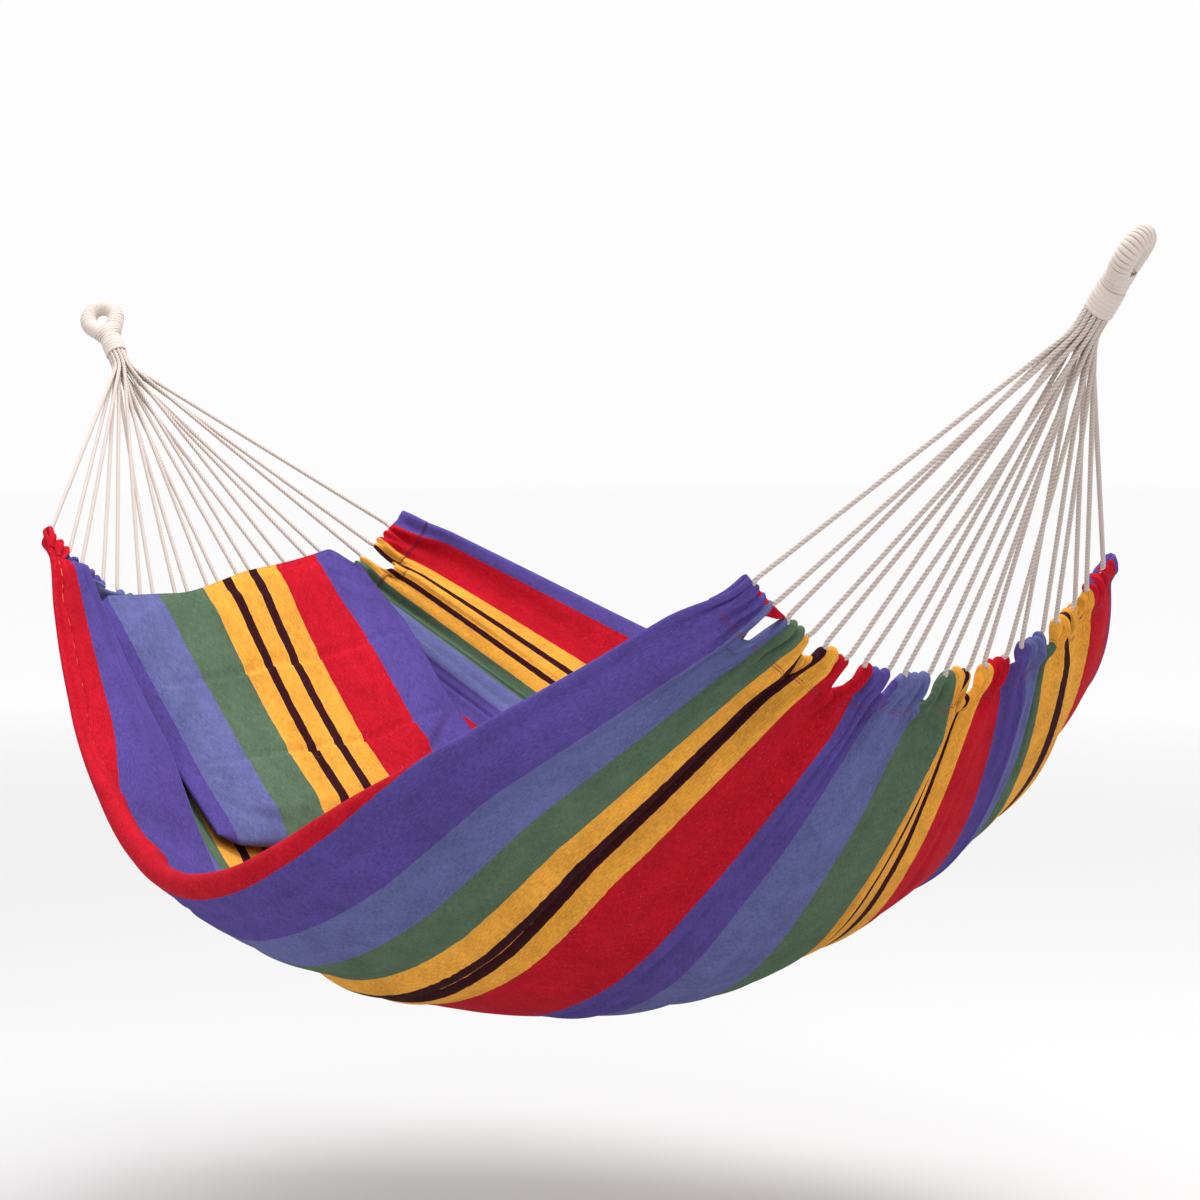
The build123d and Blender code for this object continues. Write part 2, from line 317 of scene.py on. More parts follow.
# stripes across the cloth from its near selvedge, in metres: colour, width
YELLOW_BAND = (
    ("yellow", 0.036), ("brown", 0.0155), ("yellow", 0.030), ("brown", 0.0155), ("yellow", 0.036),
)
STRIPES = (("red", 0.0903), ("purple", 0.0903), ("steel", 0.085), ("green", 0.0744)) + YELLOW_BAND
REPEAT = sum(width for _, width in STRIPES)
CLOTH_WIDTH = 3 * REPEAT + 2 * STRIPES[0][1]
WEAVE_PITCH = 0.0022           # from one thread of the weave's relief to the next but one
THREADS = {                    # linear colour of each stripe
    "red": (0.460, 0.007, 0.019), "purple": (0.086, 0.059, 0.258), "steel": (0.115, 0.122, 0.298),
    "green": (0.086, 0.138, 0.086), "yellow": (0.740, 0.335, 0.046), "brown": (0.034, 0.007, 0.010),
}


def stripe_stops(share):
    """Colour steps of one repeat of the stripes, darker or lighter by a share."""
    stops, at = [], 0.0
    for name, width in STRIPES:
        stops.append((at / REPEAT, (*(share * part for part in THREADS[name]), 1.0)))
        at += width
    return stops


def striped_cotton():
    """Plain-woven cotton: lengthwise stripes of heathered threads, matt, with a fine weave."""
    n = Nodes("striped_cotton")
    across, along, _ = n.attribute("cloth")
    waver = n.times(n.math("SUBTRACT", n.noise(n.vector(across, along), 60.0), 0.5), 0.003)
    place = n.math("ADD", n.math("ADD", across, waver), REPEAT)
    share = n.math("DIVIDE", n.math("MODULO", place, REPEAT), REPEAT)
    threads = n.noise(n.stretched(across, 620.0, along, 120.0), 1.0, 2.0)
    crossing = n.noise(n.stretched(across, 90.0, along, 700.0, 7.0), 1.0, 1.0)
    blotch = n.noise(n.vector(across, n.times(along, 0.6)), 34.0, 3.0, 0.6)
    mixed = n.math("ADD", n.times(threads, 0.5), n.times(crossing, 0.2))
    mixed = n.math("ADD", mixed, n.times(blotch, 0.3))
    fleck = n.spread(mixed, 0.40, 0.60)
    dark = n.steps(share, stripe_stops(0.80))
    light = n.steps(share, stripe_stops(1.22))
    colour = n.mix(fleck, dark, light)
    slub = n.spread(n.noise(n.stretched(across, 500.0, along, 260.0, 3.0), 1.0, 1.0), 0.70, 0.78)
    colour = n.mix(n.times(slub, 0.16), colour, srgb(190, 190, 215))
    faded = n.spread(n.noise(n.vector(across, along, 5.0), 5.0, 2.0), 0.3, 0.7, 0.88, 1.06)
    colour = n.mix(1.0, colour, n.vector(faded, faded, faded), "MULTIPLY")
    n.link(colour, n.shader.inputs["Base Color"])
    warp = n.math("SINE", n.times(across, 2 * pi / WEAVE_PITCH))
    weft = n.math("SINE", n.times(along, 2 * pi / WEAVE_PITCH))
    weave = n.times(warp, weft)
    n.bump(n.math("ADD", weave, n.times(mixed, 2.0)), 0.35, 0.0006)
    n.link(n.spread(mixed, 0.3, 0.7, 0.95, 0.80), n.shader.inputs["Roughness"])
    n.shader.inputs["Specular IOR Level"].default_value = 0.05
    return n.material


def cotton_rope(name, dark, light, groove_shade_colour):
    """Cream cotton, painted darker deep in the lay's grooves as shade; the stored vector holds the depth
    into the grooves and the place along.
    """
    n = Nodes(name)
    groove, along, turn = n.attribute("lay")
    fibres = n.noise(n.stretched(along, 900.0, turn, 30.0), 1.0, 3.0, 0.6)
    stains = n.noise(n.vector(n.times(along, 22.0), turn, 2.0), 1.0, 2.0)
    colour = n.mix(n.spread(fibres, 0.3, 0.7), dark, light)
    colour = n.mix(n.spread(stains, 0.45, 0.75, 0.0, 0.35), colour, dark)
    # painted shade: the colour turns darker deep in the grooves between the strands
    colour = n.mix(n.times(groove, 0.75), colour, groove_shade_colour)
    n.link(colour, n.shader.inputs["Base Color"])
    n.bump(fibres, 0.5, 0.0006)
    n.link(n.spread(fibres, 0.2, 0.8, 0.95, 0.82), n.shader.inputs["Roughness"])
    n.shader.inputs["Specular IOR Level"].default_value = 0.2
    n.shader.inputs["Sheen Weight"].default_value = 0.3
    return n.material


def thread_material():
    n = Nodes("stitching_thread")
    across, along, _ = n.attribute("lay")
    twist = n.noise(n.vector(n.times(along, 900.0), across), 1.0, 1.0)
    n.link(n.mix(twist, srgb(96, 12, 40), srgb(150, 28, 62)), n.shader.inputs["Base Color"])
    n.shader.inputs["Roughness"].default_value = 0.6
    return n.material


STRIPED = striped_cotton()
# the third colour of each rope is painted shade for the depths of its grooves
ROPE = cotton_rope("cream_rope", srgb(204, 189, 181), srgb(226, 215, 207), srgb(160, 144, 136))
WHIPPING = cotton_rope("whipping", srgb(200, 185, 176), srgb(219, 208, 200), srgb(158, 140, 130))
THREAD = thread_material()


# ---- camera ----------------------------------------------------------------------
CAMERA_PLACE = (4.634, -2.627, -0.221)
CAMERA_YAW = radians(-51.03)
CAMERA_PITCH = radians(-3.02)
CAMERA_LENS = 90.0


def add_camera():
    data = bpy.data.cameras.new("camera")
    data.lens = CAMERA_LENS
    data.sensor_width = 36.0
    data.clip_end = 200.0
    camera = new_object("camera", data)
    camera.location = CAMERA_PLACE
    level = cos(CAMERA_PITCH)
    look = Vector((sin(CAMERA_YAW) * level, cos(CAMERA_YAW) * level, sin(CAMERA_PITCH)))
    aim(camera, look)
    bpy.context.scene.camera = camera


add_camera()

# ---- clew cords ------------------------------------------------------------------
LOOPS = 10
CORD = 0.006
BUNDLE_RINGS = ((1, 0.0), (6, 0.0067), (13, 0.0136))
STRAND_SHARE = 0.31
FLEX_GAP = 0.009
BINDING_START = 0.004
KNEE_RUN = 0.026
KNEE_LEAD = 0.35
STRAIGHT = 6 * CORD            # how near a hem or knee the straight stretch begins
CORD_INSIDE = 0.012            # how far a cord runs up inside its binding
ROPE_RADIUS = 0.0034           # over the crowns of its three strands; the cord is soft and fluffy
LAY_LENGTH = 0.018
ROPE_SIDES = 12
ROPE_STEP = 0.0016


def bundle_places():
    """Places of the twenty strands in the bundle: (across the bed, towards the bed)."""
    places = []
    for count, radius in BUNDLE_RINGS:
        for i in range(count):
            turn = 2 * pi * (i + 0.5) / count
            places.append((round(radius * sin(turn), 9), radius * cos(turn)))

    def order(place):
        return place[0] + 0.15 * place[1] * (1 if place[0] > 0 else -1)

    return sorted(places, key=order)


def clew_axis(inward):
    """Direction in which the cords leave a binding, down towards the bed."""
    return Vector((inward * cos(EYE_SLOPE), 0, -sin(EYE_SLOPE)))


def clew_route(neck, inward, end_x, depth, spread, loop):
    """Control points of one clew cord, down to the hem, along its channel and back up."""
    segment = 2 * spread / LOOPS
    centre = -spread + (loop + 0.5) * segment
    axis = clew_axis(inward)
    across_bed = Vector((inward * sin(EYE_SLOPE), 0, cos(EYE_SLOPE)))
    places = bundle_places()
    strands = []
    for side in (0, 1):
        y, e = places[2 * loop + side]
        start = neck + Vector((0, y, 0)) + across_bed * e + axis * (FLEX_GAP - BINDING_START)
        top = start - axis * CORD_INSIDE
        knee = start + axis * (KNEE_RUN - KNEE_LEAD * abs(y))
        angle = radians(centre + (2 * side - 1) * STRAND_SHARE * segment)
        foot = Vector((end_x, depth * sin(angle), NECK_Z - depth * cos(angle)))
        pull = (foot - knee).normalized()
        strands.append([top, start, knee, knee + pull * STRAIGHT, foot - pull * STRAIGHT, foot])
    return strands[0] + list(reversed(strands[1]))


def nurbs_line(name, points):
    """Points read from a smooth curve with these control points."""
    curve = bpy.data.curves.new(name, "CURVE")
    curve.dimensions = "3D"
    curve.resolution_u = 24
    spline = curve.splines.new("NURBS")
    spline.points.add(len(points) - 1)
    for point, place in zip(spline.points, points):
        point.co = (*place, 1.0)
    spline.order_u = 3
    spline.use_endpoint_u = True
    holder = new_object(name, curve)
    bpy.context.view_layer.update()
    mesh = bpy.data.meshes.new_from_object(holder)
    line = np.array([v.co[:] for v in mesh.vertices])
    bpy.data.objects.remove(holder)
    bpy.data.curves.remove(curve)
    bpy.data.meshes.remove(mesh)
    return line


def even_steps(line, step):
    """The same line with points about one step apart, and how far along it each one lies."""
    runs = np.linalg.norm(np.diff(line, axis=0), axis=1)
    line = line[np.concatenate([[True], runs > 1e-7])]
    at = distances(line)
    count = max(3, int(round(at[-1] / step)) + 1)
    places = np.linspace(0, at[-1], count)
    return read_line(line, at, places), places


def lay_values(depth, along, ring):
    """What a rope's material reads at each point of its skin: groove depth, place along, turn."""
    shape = (len(along), len(ring))
    parts = (depth[None, :], along[:, None], ring[None, :])
    return np.stack([np.broadcast_to(part, shape) for part in parts], axis=-1)


def carried_frames(line):
    """Tangent and two side directions at each point, carried along without spin."""
    tangents = unit(np.gradient(line, axis=0))
    side = np.cross(tangents[0], (0.3, 0.9, 0.31))
    side /= np.linalg.norm(side)
    sides = []
    for t in tangents:
        side = side - t * (side @ t)
        side = side / np.linalg.norm(side)
        sides.append(side)
    sides = np.array(sides)
    return tangents, sides, np.cross(tangents, sides)


def twisted_rope(name, line, radius, lay_length, phase):
    """Three-strand rope as one closed skin: a ring with three lobes that turns along the line."""
    points, along = even_steps(line, ROPE_STEP)
    _, first, second = carried_frames(points)
    ring = np.arange(ROPE_SIDES) * 2 * pi / ROPE_SIDES
    groove = np.abs(np.sin(1.5 * (ring + 1e-6)))
    groove = 1 - groove ** 0.7
    reach = radius * (1 - 0.20 * groove)
    turn = 2 * pi * along[:, None] / lay_length + ring[None, :] + phase
    skin = (points[:, None, :] + reach[None, :, None]
            * (np.cos(turn)[..., None] * first[:, None, :] + np.sin(turn)[..., None] * second[:, None, :]))
    piece = mesh_object(name, skin.reshape(-1, 3), tube_faces(len(points), ROPE_SIDES))
    store(piece, "lay", lay_values(groove, along, ring))
    return piece, points


CLEW_ENDS = (
    ("head", "head_eye", Vector((NECK_X, 0, NECK_Z)), 1, HEAD_X, HEAD_HEM[1], HEAD_SPREAD),
    ("foot", "foot_eye", Vector((NECK_X + NECK_SPACING, 0, NECK_Z)), -1, FOOT_X, FOOT_HEM[1], FOOT_SPREAD),
)


def add_clews(end, eye_body, neck, inward, end_x, depth, spread):
    """Ten looped cords, blended from the eye's binding into the bed across the flex gap."""
    for loop in range(LOOPS):
        route = clew_route(neck, inward, end_x, depth, spread, loop)
        name = f"{end}_clew_cord_{loop + 1:02d}"
        line = nurbs_line(name, route)
        rope, centre = twisted_rope(name, line, ROPE_RADIUS, LAY_LENGTH, RANDOM.uniform(0, 2 * pi))
        rope.data.materials.append(ROPE)
        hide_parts(f"{end}_clew_{loop + 1:02d}")
        if end == "head":
            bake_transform(rope)
        else:
            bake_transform(rope)


for clew_end in CLEW_ENDS:
    add_clews(*clew_end)

# ---- eyes ------------------------------------------------------------------------
HOLE_RADIUS = 0.010
CORE_RADIUS = 0.0115
WHIPPING_PITCH = 0.0048        # the wound yarn lies flat, wider than it is thick
WHIPPING_CORD = 0.0028
LOOP_RADIUS = 0.024            # of the loop's centreline over its top
BINDING_TOP = 0.0365           # above the neck
NECK_RADIUS = 0.014
BINDING_PITCH = 0.0056
BINDING_CORD = 0.0036
WINDING_SIDES = 8
WINDING_STEPS = 30             # points in one turn
TANGENT_REACH = 12             # points each way that a direction is averaged over


def eye_place(inward):
    """Matrix from the eye's own frame, Z up along it from the neck, to the model's frame."""
    twist = HEAD_TWIST if inward > 0 else FOOT_TWIST
    across = Vector((sin(EYE_SLOPE) * sin(twist), cos(twist), cos(EYE_SLOPE) * sin(twist)))
    up = Vector((-cos(EYE_SLOPE), 0, sin(EYE_SLOPE)))
    through = up.cross(across)
    matrix = Matrix((across, through, up)).transposed().to_4x4()
    matrix.translation = Vector((NECK_X, 0, NECK_Z))
    if inward < 0:
        matrix = Matrix.Translation((HOOK_SPACING, 0, 0)) @ Matrix.Scale(-1, 4, (1, 0, 0)) @ matrix
    return matrix


def teardrop_line():
    """Centreline of the loop in its own XZ plane: up one leg, over the top and down the other."""
    centre = EYE_REACH - HOLE_RADIUS
    lean = asin(LOOP_RADIUS / (centre - BINDING_TOP))
    start = pi + lean
    turns = np.linspace(start, -lean, 60)
    arc = np.stack([LOOP_RADIUS * np.cos(turns), 0 * turns, centre + LOOP_RADIUS * np.sin(turns)], axis=1)
    base = np.array([[0, 0, BINDING_TOP]])
    return np.concatenate([base, arc, base])


def winding(name, line, widths, depths, pitch, thick, matrix, flip):
    """A thin cord wound in close turns round a line, with a half width and depth at each place."""
    at = distances(line)
    turns = at[-1] / pitch
    count = int(turns * WINDING_STEPS)
    places = np.linspace(0, at[-1], count)
    centre = read_line(line, at, places)
    tangents = np.gradient(centre, axis=0)
    kernel = np.ones(2 * TANGENT_REACH + 1) / (2 * TANGENT_REACH + 1)
    padded = [np.pad(tangents[:, k], TANGENT_REACH, mode="edge") for k in range(3)]
    tangents = unit(np.stack([np.convolve(part, kernel, "valid") for part in padded], axis=1))
    second = np.broadcast_to(np.array([0.0, 1.0, 0.0]), tangents.shape)
    first = np.cross(second, tangents)
    width = np.interp(places, at, widths)
    depth = np.interp(places, at, depths)
    turn = 2 * pi * places / pitch
    wobble = 1 + 0.022 * soft_noise(turn / 2.1, turn * 0 + 3, 11)
    helix = (centre + (np.cos(turn) * width * wobble)[:, None] * first
             + (np.sin(turn) * depth * wobble)[:, None] * second)
    path = unit(np.gradient(helix, axis=0))
    outward = helix - centre
    outward = unit(outward - path * np.sum(outward * path, axis=1, keepdims=True))
    beside = np.cross(path, outward)
    ring = np.arange(WINDING_SIDES) * 2 * pi / WINDING_SIDES
    high, broad = thick / 2, pitch * 0.78
    skin = (helix[:, None, :] + high * np.cos(ring)[None, :, None] * outward[:, None, :]
            + broad * np.sin(ring)[None, :, None] * beside[:, None, :])
    points = np.array([matrix @ Vector(p) for p in skin.reshape(-1, 3)])
    faces = tube_faces(count, WINDING_SIDES)
    if flip:
        faces = [tuple(reversed(f)) for f in faces]
    piece = mesh_object(name, points, faces)
    # painted shade: the side of each turn that faces in, against what it is wound round, is stored as
    # groove depth so the material paints it darker
    hollow = 1 - smooth(-0.2, 0.9, np.cos(ring))
    store(piece, "lay", lay_values(hollow, distances(helix), ring))
    piece.data.materials.append(WHIPPING)
    return piece


def add_eye(end, body, inward):
    matrix = eye_place(inward)
    flip = inward > 0
    loop = teardrop_line()
    cover = CORE_RADIUS + WHIPPING_CORD / 2
    whipping = winding(f"{end}_loop_whipping", loop, [cover] * len(loop), [cover] * len(loop),
                       WHIPPING_PITCH, WHIPPING_CORD, matrix, flip)
    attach(whipping, body)
    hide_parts(f"{end}_eye_whipping")

    low, high = BINDING_TOP - 0.002, BINDING_TOP + 0.024
    heights = np.linspace(low, high, 12)
    throat = np.stack([0 * heights, 0 * heights, heights], axis=1)
    lean = LOOP_RADIUS / (EYE_REACH - HOLE_RADIUS - BINDING_TOP)
    legs_apart = np.clip(heights - BINDING_TOP, 0, None) * lean * 1.05
    collar = winding(f"{end}_throat_whipping", throat, 0.0152 + legs_apart, [0.0156] * len(heights),
                     WHIPPING_PITCH, WHIPPING_CORD, matrix, flip)
    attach(collar, body)

    heights = np.linspace(BINDING_START - 0.001, BINDING_TOP, 12)
    neck = np.stack([0 * heights, 0 * heights, heights], axis=1)
    around = [NECK_RADIUS + BINDING_CORD / 2 + 0.001] * len(heights)
    binding = winding(f"{end}_neck_whipping", neck, around, around,
                      BINDING_PITCH, BINDING_CORD, matrix, flip)
    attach(binding, body)
    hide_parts(f"{end}_neck_binding")

    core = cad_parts[f"{end}_eye_core"]
    core.data.materials.clear()
    core.data.materials.append(ROPE)


add_eye("head", "head_eye", 1)
add_eye("foot", "foot_eye", -1)

# ---- bed cloth -------------------------------------------------------------------
CLOTH_THICK = 0.0013
NOTCH_SIZES = (1.0, 0.45, 0.9, 0.6, 0.9, 0.9, 0.6, 0.7, 1.0)    # of the nine notches in a hem
NOTCH_SHARE = 0.18             # half a notch, as a share of its hem segment's cloth
NOTCH_DEPTH = 0.050
HEM_FOLD = 0.046               # hem width, from the fold to the stitching
CHANNEL = 0.0042               # half the height of the channel round the cord
HEM_ROWS_END = 0.06            # from a hem's fold to where the rows start to spread out
BED_COLUMNS = 420
NEAR_LIP_COLUMNS = 24
FAR_LIP_COLUMNS = 12

# width of the bands that turn over along the rims, at shares of the cloth's length
NEAR_FOLDS = (
    (0.0, 0.225, 0.42, 0.60, 0.70, 0.80, 1.0),
    (0.015, 0.050, 0.088, 0.094, 0.100, 0.120, 0.118),
)
FAR_FOLDS = ((0.0, 0.3, 0.5, 0.75, 1.0), (0.060, 0.064, 0.054, 0.082, 0.086))

# how the stripes crowd together: a place on the cloth, and where it lies from rim (0) to rim (1)
HEAD_CROWDING = (
    (0.0, 0.090, 0.181, 1.210, 1.285, 1.418, 1.508, 1.600),
    (-0.012, 0.055, 0.170, 0.820, 0.845, 0.930, 0.985, 1.040),
)
STRIPE_EDGES = (
    0.181, 0.266, 0.340, 0.473, 0.563, 0.654, 0.739, 0.813, 0.947, 1.037, 1.285, 1.418, 1.508, 1.6,
)
BELLY_CROWDING = (
    (0.0, 0.094, *STRIPE_EDGES),
    (-0.10, 0.0, 0.060, 0.114, 0.162, 0.240, 0.328, 0.404,
     0.500, 0.562, 0.650, 0.718, 0.785, 0.870, 0.95, 1.03),
)
FOOT_CROWDING = (
    (0.0, 0.118, *STRIPE_EDGES),
    (-0.15, 0.0, 0.062, 0.118, 0.143, 0.222, 0.336, 0.395,
     0.482, 0.545, 0.606, 0.700, 0.790, 0.915, 0.995, 1.05),
)
HEAD_REACH = 0.80              # how far each end's crowding reaches along the bed
FOOT_REACH = 0.85


def row_places():
    """Distances of the rows of points from a hem's fold, close together over the hem itself."""
    hem = np.arange(0, HEM_ROWS_END, 0.0025)
    return np.concatenate([hem, HEM_ROWS_END + np.cumsum(np.linspace(0.003, 0.009, 34))])


NEAR_HEM_ROWS = row_places()
MIDDLE_ROWS = np.linspace(NEAR_HEM_ROWS[-1], CLOTH_LENGTH - NEAR_HEM_ROWS[-1], 170)[1:-1]


def near_fold(along):
    """Width of the band that turns in along the near rim."""
    return np.interp(along / CLOTH_LENGTH, *NEAR_FOLDS)


def far_fold(along):
    """Width of the band that turns over along the far rim."""
    return np.interp(along / CLOTH_LENGTH, *FAR_FOLDS)


def near_rim(station):
    """Angle of the visible near rim; the rolled cloth sits a little lower at the foot."""
    return rim_angle(NEAR_CURVE, station) - radians(1.0) * smooth(0.5, 1.0, np.asarray(station))


def soft_ramp(value):
    """The value where it is above 0, else about 0, with a rounded corner."""
    return (value + np.sqrt(value * value + 0.01)) / 2


def crowding(across, along):
    """Where a place on the cloth lies across the bed, before it is fitted between the rims."""
    head = soft_ramp(1 - along / HEAD_REACH)
    foot = soft_ramp(1 - (CLOTH_LENGTH - along) / FOOT_REACH)
    parts = []
    for places, shares in (HEAD_CROWDING, BELLY_CROWDING, FOOT_CROWDING):
        values = [np.interp(across + step, places, shares) for step in (-0.012, 0.0, 0.012)]
        parts.append((values[0] + 2 * values[1] + values[2]) / 4)
    return head * parts[0] + (1 - head - foot) * parts[1] + foot * parts[2]


def hem_knots(end):
    """Where the cloth lies along a hem: material places and the angles they are drawn to."""
    spread = HEAD_SPREAD if end == "head" else FOOT_SPREAD
    along = 0.0 if end == "head" else CLOTH_LENGTH
    station = -1.0 if end == "head" else 1.0
    near, far = -float(np.degrees(near_rim(station))), float(np.degrees(rim_angle(FAR_CURVE, station)))
    first, last = float(near_fold(along)), CLOTH_WIDTH - float(far_fold(along))
    segment = 2 * spread / LOOPS
    cloth = np.linspace(first, last, 400)
    laid = crowding(cloth, along)
    laid = near + (far - near) * (laid - laid[0]) / (laid[-1] - laid[0])
    cuts = np.interp(-spread + segment * np.arange(1, LOOPS), laid, cloth)
    edges = [first, *cuts, last]
    places, angles = [first], [near]
    for loop in range(LOOPS):
        width = edges[loop + 1] - edges[loop]
        centre = -spread + (loop + 0.5) * segment
        places += [edges[loop] + NOTCH_SHARE * width, edges[loop + 1] - NOTCH_SHARE * width]
        angles += [centre - STRAND_SHARE * segment, centre + STRAND_SHARE * segment]
    places.append(last)
    angles.append(far)
    return np.array(places), np.radians(np.array(angles)), np.array(edges)


def segment_share(across, edges):
    """Which hem segment a material place is in, and how far across it, from 0 to 1."""
    index = np.clip(np.searchsorted(edges, across, side="right") - 1, 0, LOOPS - 1)
    return index, (across - edges[index]) / (edges[index + 1] - edges[index])


def notch_depth(across, edges):
    """How far the hem's fold is cut back between two cords."""
    depth = np.zeros_like(across)
    for i, cut in enumerate(edges[1:-1], start=1):
        left = NOTCH_SHARE * (edges[i] - edges[i - 1])
        right = NOTCH_SHARE * (edges[i + 1] - edges[i])
        offset = across - cut
        share = np.where(offset < 0, -offset / left, offset / right)
        depth = np.maximum(depth, NOTCH_SIZES[i - 1] * NOTCH_DEPTH * np.clip(1 - share ** 4, 0, 1))
    return depth


def gathers(across, distance, edges, seed):
    """Lift from the small puckers over the cords, fading with the distance from the hem."""
    index, share = segment_share(across, edges)
    rng = np.random.default_rng(seed)
    lift = np.zeros_like(across)
    for count, size, reach in ((6, 0.0042, 0.040), (4, 0.0050, 0.075), (2, 0.0040, 0.22)):
        phase = rng.uniform(0, 2 * pi, LOOPS)[index]
        beats = count + rng.uniform(-0.4, 0.4, LOOPS)[index]
        fade = np.exp(-distance / reach) * smooth(-0.01, 0.03, distance)
        lift += size * fade * np.sin(2 * pi * beats * share + phase)
    return lift


def flutes(across, distance, edges):
    """Lift of the broad flutes: the cloth falls in below each notch and bellies below each cord."""
    _, share = segment_share(across, edges)
    fade = smooth(0.0, 0.10, distance) * np.exp(-distance / 0.26)
    return 0.014 * fade * np.cos(2 * pi * share)


def puff(across, distance, edges, seed):
    """Extra height of the channel where the cloth is bunched on its cord."""
    index, share = segment_share(across, edges)
    rng = np.random.default_rng(seed)
    phase = rng.uniform(0, 2 * pi, LOOPS)[index]
    beats = 4.5 + rng.uniform(-0.5, 0.5, LOOPS)[index]
    rising = smooth(NOTCH_SHARE * 0.7, NOTCH_SHARE * 1.6, share)
    falling = 1 - smooth(1 - NOTCH_SHARE * 1.6, 1 - NOTCH_SHARE * 0.7, share)
    wave = 0.5 + 0.5 * np.sin(2 * pi * beats * share + phase)
    return 0.0058 * wave * rising * falling * (1 - smooth(0.010, 0.036, distance))


PLEAT_PLACE = 0.3955           # across the cloth, in the first yellow band


def long_fold(across, foot_distance):
    """The pleat that runs from a foot notch through the first yellow band: lift and slide."""
    offset = across - PLEAT_PLACE
    size = smooth(0.0, 0.06, foot_distance) * (1 - smooth(0.75, 1.35, foot_distance))
    over = bell(offset + 0.012, 0.022)
    under = bell(offset - 0.014, 0.016)
    lift = size * (0.014 * under - 0.011 * over)
    slide = size * 0.013 * bell(offset + 0.006, 0.016)
    return lift, slide


# lengthwise creases: place across the cloth, and height; those below 0 are hollows
CREASES = (
    (0.135, 0.0035), (0.59, 0.005), (0.625, -0.004), (0.70, 0.004),
    (0.835, 0.006), (0.98, 0.004), (1.10, -0.004), (1.24, 0.005),
)


def wrinkles(across, along):
    """Shallow lengthwise creases and the waviness of used cloth."""
    lift = 0.0054 * soft_noise(across / 0.085 + 9, along / 0.55 + 2, 21)
    lift += 0.0030 * soft_noise(across / 0.034 + 3, along / 0.30 + 8, 22)
    lift += 0.0009 * soft_noise(across / 0.016 + 5, along / 0.11 + 1, 23)
    for place, size in CREASES:
        wander = place + 0.008 * np.sin(along * 2.3 + place * 9)
        lift += size * bell(across - wander, 0.007)
    return lift


# where the pillow lies on the bed, and its size
PILLOW_CORNER = (0.485, -0.300)    # near corner of its head edge, in plan
PILLOW_TURN = radians(4.0)
PILLOW_RUN = 0.352             # along the bed
PILLOW_WIDE = 0.520
PILLOW_LIFT = 0.005            # underside, above the bed
PILLOW_TOP = (0.085, 0.050)    # top above the bed, at the head edge and the foot edge
PILLOW_FLATTER = 1.5           # the top curves across with a radius that much larger
PILLOW_SPILL = 0.036           # the filling pushes its far side out
PILLOW_CELLS = (88, 128)       # along the bed, across it
PILLOW_STRIPE_START = 0.153    # place in the stripes at the pillow's near side
PILLOW_STRIPE_SCALE = 1.123    # its stripes are a little wider than the bed's

# The first purple stripe stands up beside the pillow as a ridge; behind it the cloth dives under.
RIDGE_PLACE = 0.178            # crest, across the cloth
RIDGE_LIFT = 0.064
RIDGE_SIDE = 0.323             # crest, out from the bed's middle line
VALLEY_PLACE = 0.27
VALLEY_SIDE = 0.303
VALLEY_END = 0.42              # where the cloth is back in its usual place


def beside_pillow(across, along, first, angle, lift):
    """Moves the cloth at the near head wall on to the ridge and the valley behind it."""
    weight = smooth(0.0, 0.10, along) * (1 - smooth(0.58, 0.95, along))
    ridge = RIDGE_LIFT * (1 - smooth(0.38, 0.66, along))
    station = station_of(along)
    norm = np.sqrt(1 + slope(station) ** 2)
    near = -near_rim(station)
    crest = -np.arcsin(RIDGE_SIDE / (drop(station) - ridge / norm))
    valley = -np.arcsin(VALLEY_SIDE / drop(station))
    up = np.clip((across - first) / (RIDGE_PLACE - first), 0, 1)
    down = np.clip((across - RIDGE_PLACE) / (VALLEY_PLACE - RIDGE_PLACE), 0, 1)
    back = smooth(VALLEY_PLACE, VALLEY_END, across)
    new_angle = near + (crest - near) * up ** 1.12 + (valley - crest) * down
    new_angle = new_angle * (1 - back) + angle * back
    height = np.sin(0.5 * pi * up ** 0.85) ** 0.9 * (1 - smooth(0.0, 1.0, down))
    new_lift = ridge * height * (1 - back) + lift * np.where(across > RIDGE_PLACE, back, 0.6)
    return angle + (new_angle - angle) * weight, lift + (new_lift - lift) * weight


def under_pillow(angle, along):
    """How surely a place on the bed is pressed flat under the pillow, from 0 to 1."""
    x, y, _ = np.moveaxis(hang(along, angle, 0 * angle), -1, 0)
    east, north = x - PILLOW_CORNER[0], y - PILLOW_CORNER[1]
    p = (east * cos(PILLOW_TURN) + north * sin(PILLOW_TURN)) / PILLOW_RUN
    q = (north * cos(PILLOW_TURN) - east * sin(PILLOW_TURN)) / PILLOW_WIDE
    inside_p = smooth(-0.15, -0.05, p) * (1 - smooth(1.05, 1.15, p))
    inside_q = smooth(-0.06, -0.01, q) * (1 - smooth(1.02, 1.10, q))
    return inside_p * inside_q


def bed_rows():
    """All rows: which end, which layer of the hem, and the distance or the turn of its fold."""
    flap = [(-1, d) for d in NEAR_HEM_ROWS[NEAR_HEM_ROWS <= HEM_FOLD][::-1]]
    bend = [(0, turn) for turn in np.linspace(0, pi, 9)[1:-1]]
    hem = flap + bend + [(1, d) for d in NEAR_HEM_ROWS]
    head = [("head", *row) for row in hem]
    middle = [("middle", 1, d) for d in MIDDLE_ROWS]
    foot = [("foot", *row) for row in reversed(hem)]
    return head + middle + foot


HEAD_KNOTS = hem_knots("head")
FOOT_KNOTS = hem_knots("foot")
INNER = np.linspace(0, 1, BED_COLUMNS)
LIP_NEAR = np.linspace(1, 0, NEAR_LIP_COLUMNS + 1)[:-1]
LIP_FAR = np.linspace(0, 1, FAR_LIP_COLUMNS + 1)[1:]


